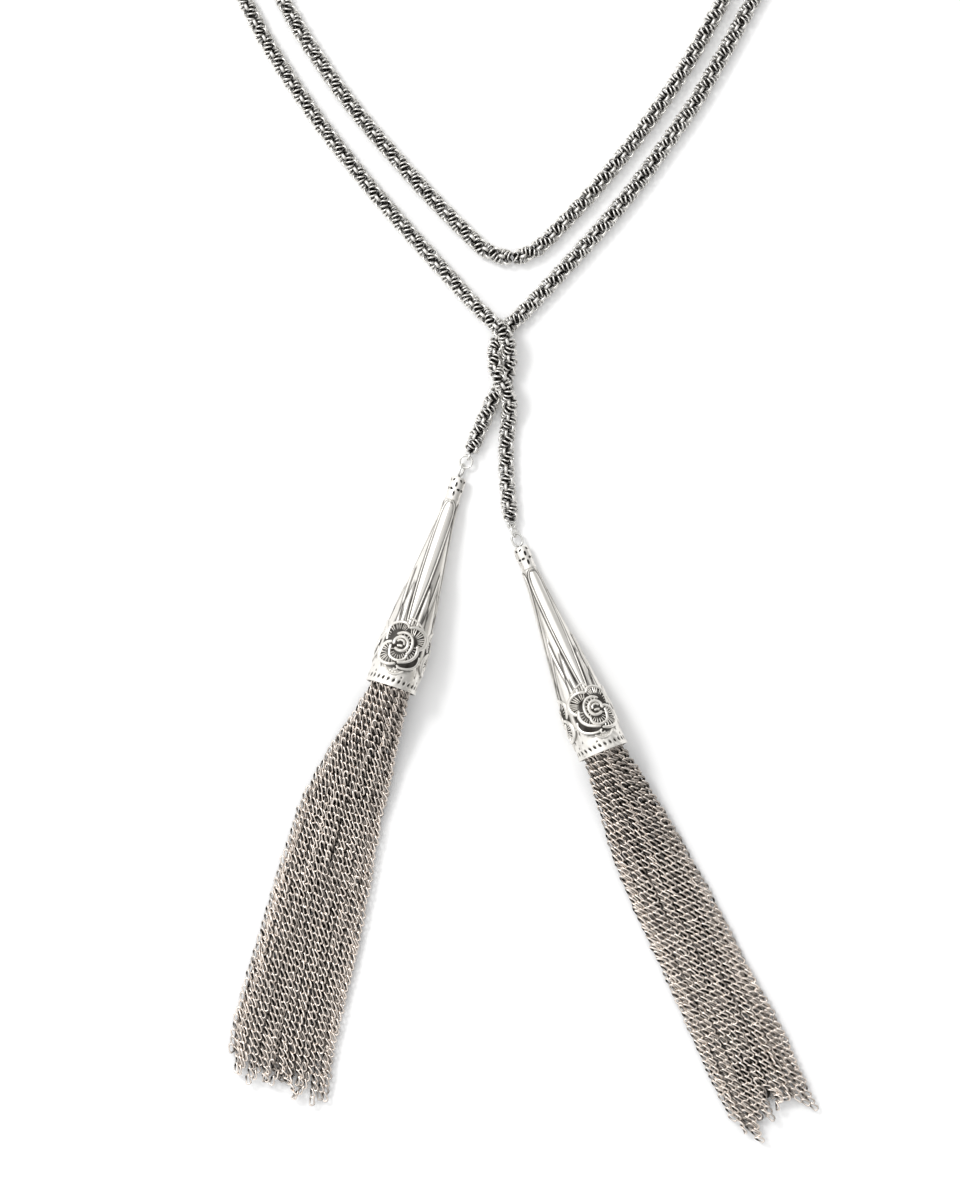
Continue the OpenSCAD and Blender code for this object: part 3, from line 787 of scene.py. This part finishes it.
def crown():
    """Pierced collar at the cone's top."""
    outside = [(CROWN_R - 0.35, 0), (CROWN_R - 0.1, 0.4), (CROWN_R, 0.42 * CROWN_L),
               (NECK_R + 0.15, CROWN_L - 0.4), (NECK_R + 0.35, CROWN_L), (NECK_R + 0.3, CROWN_L + 0.4)]
    inside = [(NECK_R - 0.1, CROWN_L + 0.8), (NECK_R - WALL, CROWN_L + 0.8),
              (NECK_R - WALL + 0.1, CROWN_L - 0.4), (CROWN_R - WALL, 0.42 * CROWN_L),
              (CROWN_R - WALL - 0.35, 0)]
    profile = outside + inside
    columns = 64
    wall = make_mesh("crown_wall", lathe(profile, columns),
                     grid_faces(len(profile), columns, close_rows=True))
    corners = 12
    turn = 2 * math.pi * np.arange(corners) / corners
    verts = []
    faces = []
    for flower in range(CROWN_FLOWERS):
        for share, off, lean, length, width in CROWN_SLOTS:
            along, around = rotated(length / 2 * np.cos(turn), width / 2 * np.sin(turn), lean)
            angle = flower * 360 / CROWN_FLOWERS + off + np.degrees(around / CROWN_R)
            at = sum(len(v) for v in verts)
            # Each slot is cut by a prism from inside the crown's hollow to outside its wall
            for r in (0.5, CROWN_R + 1):
                verts.append(front_to_local(r, angle, share * CROWN_L + along))
            faces += [(at + k, at + (k + 1) % corners, at + corners + (k + 1) % corners, at + corners + k)
                      for k in range(corners)]
            faces.append(tuple(range(at, at + corners)))
            faces.append(tuple(range(at + corners, at + 2 * corners)))
    cutter = make_mesh("crown_cutter", np.concatenate(verts), faces)
    for obj in (wall, cutter):
        fix_normals(obj)
    cut = wall.modifiers.new("slots", "BOOLEAN")
    cut.operation = "DIFFERENCE"
    cut.solver = "EXACT"
    cut.object = cutter
    bpy.context.view_layer.update()
    done = bpy.data.meshes.new_from_object(wall.evaluated_get(bpy.context.evaluated_depsgraph_get()))
    points = np.array([v.co for v in done.vertices]) / mm
    faces = [tuple(p.vertices) for p in done.polygons]
    for obj in (wall, cutter):
        bpy.data.objects.remove(obj)
    out = np.hypot(points[:, 0], points[:, 1])
    surface = np.interp(points[:, 2], [z for _, z in outside], [r for r, _ in outside])
    # Painted shade, darker the further a point lies below the outside: in the slots and inside the crown
    return points, faces, np.clip((surface - out) / 0.3, 0, 1)


def fix_normals(obj):
    """Turns every face outwards."""
    work = bmesh.new()
    work.from_mesh(obj.data)
    bmesh.ops.recalc_face_normals(work, faces=work.faces)
    work.to_mesh(obj.data)
    work.free()


def crisp(obj):
    """Turns every face outwards and leaves its hard edges sharp."""
    fix_normals(obj)
    obj.data.set_sharp_from_angle(angle=math.radians(SHARP_EDGE))


def merged(parts):
    """Points, faces and darkness of several pieces as one."""
    verts = np.concatenate([p[0] for p in parts])
    faces = []
    at = 0
    for part in parts:
        faces += moved_faces(part[1], at)
        at += len(part[0])
    return verts, faces, {"recess": np.concatenate([p[2] for p in parts])}


def cone_cap(side_name, start, axes, roll, mirrored):
    """One cast piece: fluted body, three roses, punched band and pierced crown.

    The left and right castings are mirror images, and each has rolled a little."""
    parts = [cone_body(), crown()]
    for number in range(ROSES):
        parts += rose(number * 360 / ROSES)
    verts, faces, attributes = merged(parts)
    if mirrored:
        verts = verts * [1, -1, 1]
    verts = np.stack([*rotated(verts[:, 0], verts[:, 1], roll), verts[:, 2]], axis=1)
    obj = make_mesh(f"cone_{side_name}", start + verts @ axes.T, faces, attributes)
    crisp(obj)
    dress(obj, CAST_SILVER, "cast_silver", f"cone_cap_{side_name}")


# Tassels

def spread(table, column, share):
    """One column of a table of the spreading chains, at shares of the tassel's length."""
    rows = np.array(table)
    return np.interp(share, rows[:, 0], rows[:, column])


def chain_path(cone, azimuth, table, width, u, v, share_end, wander, curl):
    """Where one chain runs: u is its place across the tassel, v its height in it."""
    start, axes = cone
    mouth = start + CONE_L * axes[:, 2]
    heading = direction(azimuth)
    right = np.array([-heading[1], heading[0], 0])
    share = np.linspace(-START_INSIDE / TASSEL_L, share_end, PATH_POINTS)
    inside = np.clip(share, 0, 1)
    wide = width * spread(table, 2, inside)
    down = spread(table, 3, inside)
    round_part = math.sqrt(1 - 0.92 * u * u)
    bundle = RIM_R - WALL - MOUTH_ROOM
    top = (mouth[2] + bundle * round_part) * (1 - down) + TASSEL_H * (0.65 + 0.35 * round_part) * down
    settle = smooth_step(down * 1.15)
    low = (mouth[2] - bundle * round_part) * (1 - settle)
    # Left for half a link below the lowest chain and above the highest
    room = (LOW_LINK[1] / 2, TOP_LINK[1] / 2 + 0.07)
    height = low + room[0] + v * (top - low - sum(room))
    lateral = spread(table, 1, inside) * TASSEL_L + u * (wide / 2 - EDGE_ROOM)
    amount, waves, phase = wander
    lateral = lateral + amount * np.sin(waves * math.pi * share + phase) * smooth_step(share * 4)
    lateral = lateral + curl * np.clip((share - share_end) * TASSEL_L / CURL_L + 1, 0, 1) ** 2
    points = mouth + share[:, None] * TASSEL_L * heading + lateral[:, None] * right
    points[:, 2] = height
    kernel = np.ones(EVENED_OVER) / EVENED_OVER
    extra = EVENED_OVER // 2
    padded = np.pad(points, ((extra, extra), (0, 0)), mode="edge")
    return Path(np.stack([np.convolve(padded[:, c], kernel, mode="valid") for c in range(3)], axis=1))


def curb_link(long, wide, wire):
    """An oval link twisted from end to end, so that it lies aslant in its chain."""
    points, outward, faces = wire_loop((wide - wire) / 2, wire, RING_STEPS, WIRE_SIDES, stretch=long - wide)
    y, z = rotated(points[:, 1], points[:, 2], LINK_ROLL + LINK_TWIST * points[:, 0] / (long / 2))
    return np.stack([*rotated(points[:, 0], y, LINK_LEAN), z], axis=1), outward, faces


def tassel(side_name, cone, azimuth, table, ends, width):
    """Layers of curb chains that leave the cone as a bundle and spread on the surface."""
    node = f"tassel_{side_name}"
    for layer, (spacing, v, shorter, layer_shade, link) in enumerate(LAYERS):
        long, _, wire = link
        pitch = long - 2 * wire - LINK_SLACK
        template = curb_link(*link)
        count = round(width / spacing)
        verts = []
        faces = []
        shade = []
        for k in range(count):
            # Place across the tassel, from -1 to 1, with every second layer half a chain aside
            u = -1 + 2 * (k + 0.5 * (layer % 2)) / (count - 1 + (layer % 2))
            u *= 1 - NARROWER * layer
            end = np.interp((u + 1) / 2 * (len(ends) - 1), range(len(ends)), ends)
            end += REACH - shorter * random.uniform(0.5, 1) - UNEVEN * random.random()
            # How far the chain wanders sideways, in how many half waves, and from where in a wave
            wander = (random.uniform(0.1, 0.3), random.uniform(2, 6), random.uniform(0, 6.3))
            # The outer chains curl less than the inner ones, and least of all outwards
            curl = random.normal(0, CURL)
            curl *= 1 - abs(u) if curl * u > 0 else 1 - 0.6 * u * u
            # Lower towards the tassel's edges, and every second chain a little lower
            height = v * (1 - 0.35 * u * u) - 0.12 * (k % 2)
            path = chain_path(cone, azimuth, table, width, u, height, end, wander, curl)
            links = int(path.length / pitch)
            s = (np.arange(links) + random.uniform(0.4, 0.6)) * pitch
            place, along, side, up = path.frames(s)
            drift = np.cumsum(random.normal(0, ROLL_DRIFT, links))
            roll = random.normal(0, CHAIN_ROLL) + drift - drift.mean() + random.normal(0, LOOSE_ROLL, links)
            roll = np.radians(roll)[:, None]
            swing = np.radians(random.normal(0, LOOSE_SWING, links))[:, None]
            ahead = along * np.cos(swing) + side * np.sin(swing)
            side = side * np.cos(swing) - along * np.sin(swing)
            place = place + side * random.normal(0, LOOSE_PLACE, links)[:, None]
            across = np.cos(roll) * side + np.sin(roll) * up
            turns = np.stack([ahead, across, np.cross(ahead, across)], axis=2)
            placed, placed_faces = copies(template, place, turns)
            at = sum(len(p) for p in verts)
            verts.append(placed)
            faces.append(placed_faces + at)
            # Painted shade: dark deep in the tassel and on the underside of each chain
            above = placed[:, 2] - np.repeat(place[:, 2], len(template[0]))
            shade.append(np.clip(np.maximum(layer_shade * (1 - u ** 4), HALFWAY_DARK - above / DARK_OVER), 0, 1))
        obj = make_mesh(f"{node}_layer_{layer + 1}", np.concatenate(verts), np.concatenate(faces),
                        {"recess": np.concatenate(shade)})
        dress(obj, CHAIN_SILVER, "tassel_chain", node)
    tassel_head(side_name, *cone, node)


def turned(profile, columns):
    """A turned solid about the cone's axis, closed at both ends."""
    points = lathe(profile, columns)
    faces = grid_faces(len(profile), columns)
    faces.append(tuple(range(columns)))
    faces.append(tuple(range((len(profile) - 1) * columns, len(profile) * columns)))
    # Evenly painted in shade, for the head hidden inside the cone and the pin's neck in the crown's top
    return points, faces, np.full(len(points), 0.45)


def tassel_head(side_name, start, axes, node):
    """Head that the chains hang from, on a pin whose oval eye comes out of the crown."""
    top = CONE_L - HEAD_L
    face = CONE_L - 2.5
    head = turned([(PIN_D / 2, 0.3), (PIN_D / 2, top), (cone_radius(top) - HEAD_ROOM, top + 0.3),
                   (cone_radius(face) - HEAD_ROOM, face - 0.4), (cone_radius(face) - 1.5, face)], 32)
    middle = (PIN_EYE_W - PIN_EYE_WIRE) / 2
    loop, outward, faces = wire_loop(middle, PIN_EYE_WIRE, EYE_STEPS, EYE_SIDES, stretch=PIN_EYE_STRAIGHT)
    # The loop's length lies along the cone, its width is rolled about the cone's axis
    low = -0.2 - PIN_EYE_WIRE / 2 - middle - PIN_EYE_STRAIGHT / 2
    x, y = rotated(loop[:, 1], loop[:, 2], PIN_EYE_ROLL[side_name])
    eye = np.stack([x, y, low + loop[:, 0]], axis=1)
    neck = turned([(PIN_D / 2 - 0.1, -0.5), (PIN_D / 2, 0.4)], 16)
    # The pin's eye is painted in shade on the inner side of its wire
    verts, all_faces, attributes = merged([head, neck, (eye, faces, 0.2 - 0.2 * outward)])
    obj = make_mesh(f"tassel_{side_name}_head", start + verts @ axes.T, all_faces, attributes)
    crisp(obj)
    dress(obj, RING_SILVER, "tassel_chain", node)


# Stage

def sky(tree):
    """Soft light from one side of the dome, dimmer on the other."""
    background = tree.nodes["Background"]
    place = tree.nodes.new("ShaderNodeTexCoord")
    towards = tree.nodes.new("ShaderNodeVectorMath")
    towards.operation = "DOT_PRODUCT"
    towards.inputs[1].default_value = unit(BRIGHT_SIDE)
    tree.links.new(place.outputs["Generated"], towards.inputs[0])
    spread_out = tree.nodes.new("ShaderNodeMapRange")
    spread_out.interpolation_type = "SMOOTHSTEP"
    spread_out.inputs["From Min"].default_value = SKY_CHANGE[0]
    spread_out.inputs["From Max"].default_value = SKY_CHANGE[1]
    spread_out.inputs["To Min"].default_value = DIM_SKY
    spread_out.inputs["To Max"].default_value = BRIGHT_SKY
    tree.links.new(towards.outputs["Value"], spread_out.inputs["Value"])
    background.inputs["Color"].default_value = (1, 1, 1, 1)
    tree.links.new(spread_out.outputs["Result"], background.inputs["Strength"])


def studio():
    """White surface, sky and one soft lamp that faces the middle of the photo's frame."""
    half = FLOOR_SIZE / 2
    corners = [(-half, -half, 0), (half, -half, 0), (half, half, 0), (-half, half, 0)]
    mesh = bpy.data.meshes.new("studio_floor")
    mesh.from_pydata(corners, [], [(0, 1, 2, 3)])
    floor = bpy.data.objects.new("studio_floor", mesh)
    bpy.context.scene.collection.objects.link(floor)
    paper = bpy.data.materials.new("white_paper")
    paper.use_nodes = True
    shader = paper.node_tree.nodes["Principled BSDF"]
    shader.inputs["Base Color"].default_value = (0.98, 0.98, 0.98, 1)
    shader.inputs["Roughness"].default_value = 0.9
    shader.inputs["Specular IOR Level"].default_value = 0.1
    mesh.materials.append(paper)
    world = bpy.data.worlds.new("studio")
    world.use_nodes = True
    sky(world.node_tree)
    bpy.context.scene.world = world
    light = bpy.data.lights.new("key", "AREA")
    light.shape = "DISK"
    light.size = LAMP_SIZE
    light.energy = LAMP_POWER
    lamp = bpy.data.objects.new("key", light)
    lamp.location = LAMP_PLACE
    aim = Vector((*VIEW_CENTRE, 0)) - Vector(LAMP_PLACE)
    lamp.rotation_euler = aim.to_track_quat("-Z", "Y").to_euler()
    bpy.context.scene.collection.objects.link(lamp)
    bpy.context.scene.view_settings.view_transform = "Standard"


def camera():
    """Straight above the photo's frame."""
    data = bpy.data.cameras.new("camera")
    data.lens = LENS
    data.sensor_fit = "VERTICAL"
    data.sensor_height = SENSOR
    obj = bpy.data.objects.new("camera", data)
    obj.location = (*VIEW_CENTRE, VIEW_PLANE + VIEW_HEIGHT * LENS / SENSOR)
    bpy.context.scene.collection.objects.link(obj)
    bpy.context.scene.camera = obj


camera()
studio()
rope_chain("left", LEFT_ROUTE, LEFT_EYE_ROLL)
rope_chain("right", RIGHT_ROUTE, RIGHT_EYE_ROLL)
left_cone = cone_frame("cone_cap_left", LEFT_HEADING)
right_cone = cone_frame("cone_cap_right", RIGHT_HEADING)
cone_cap("left", *left_cone, LEFT_CONE_ROLL, False)
cone_cap("right", *right_cone, RIGHT_CONE_ROLL, True)
tassel("left", left_cone, LEFT_HEADING, LEFT_SPREAD, LEFT_ENDS, LEFT_TASSEL_W)
tassel("right", right_cone, RIGHT_HEADING, RIGHT_SPREAD, RIGHT_ENDS, RIGHT_TASSEL_W)
# The jump rings are shown as the solids that they are
for ring in ("jump_ring_left", "jump_ring_right"):
    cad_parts[ring].data.materials.clear()
    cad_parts[ring].data.materials.append(RING_SILVER)
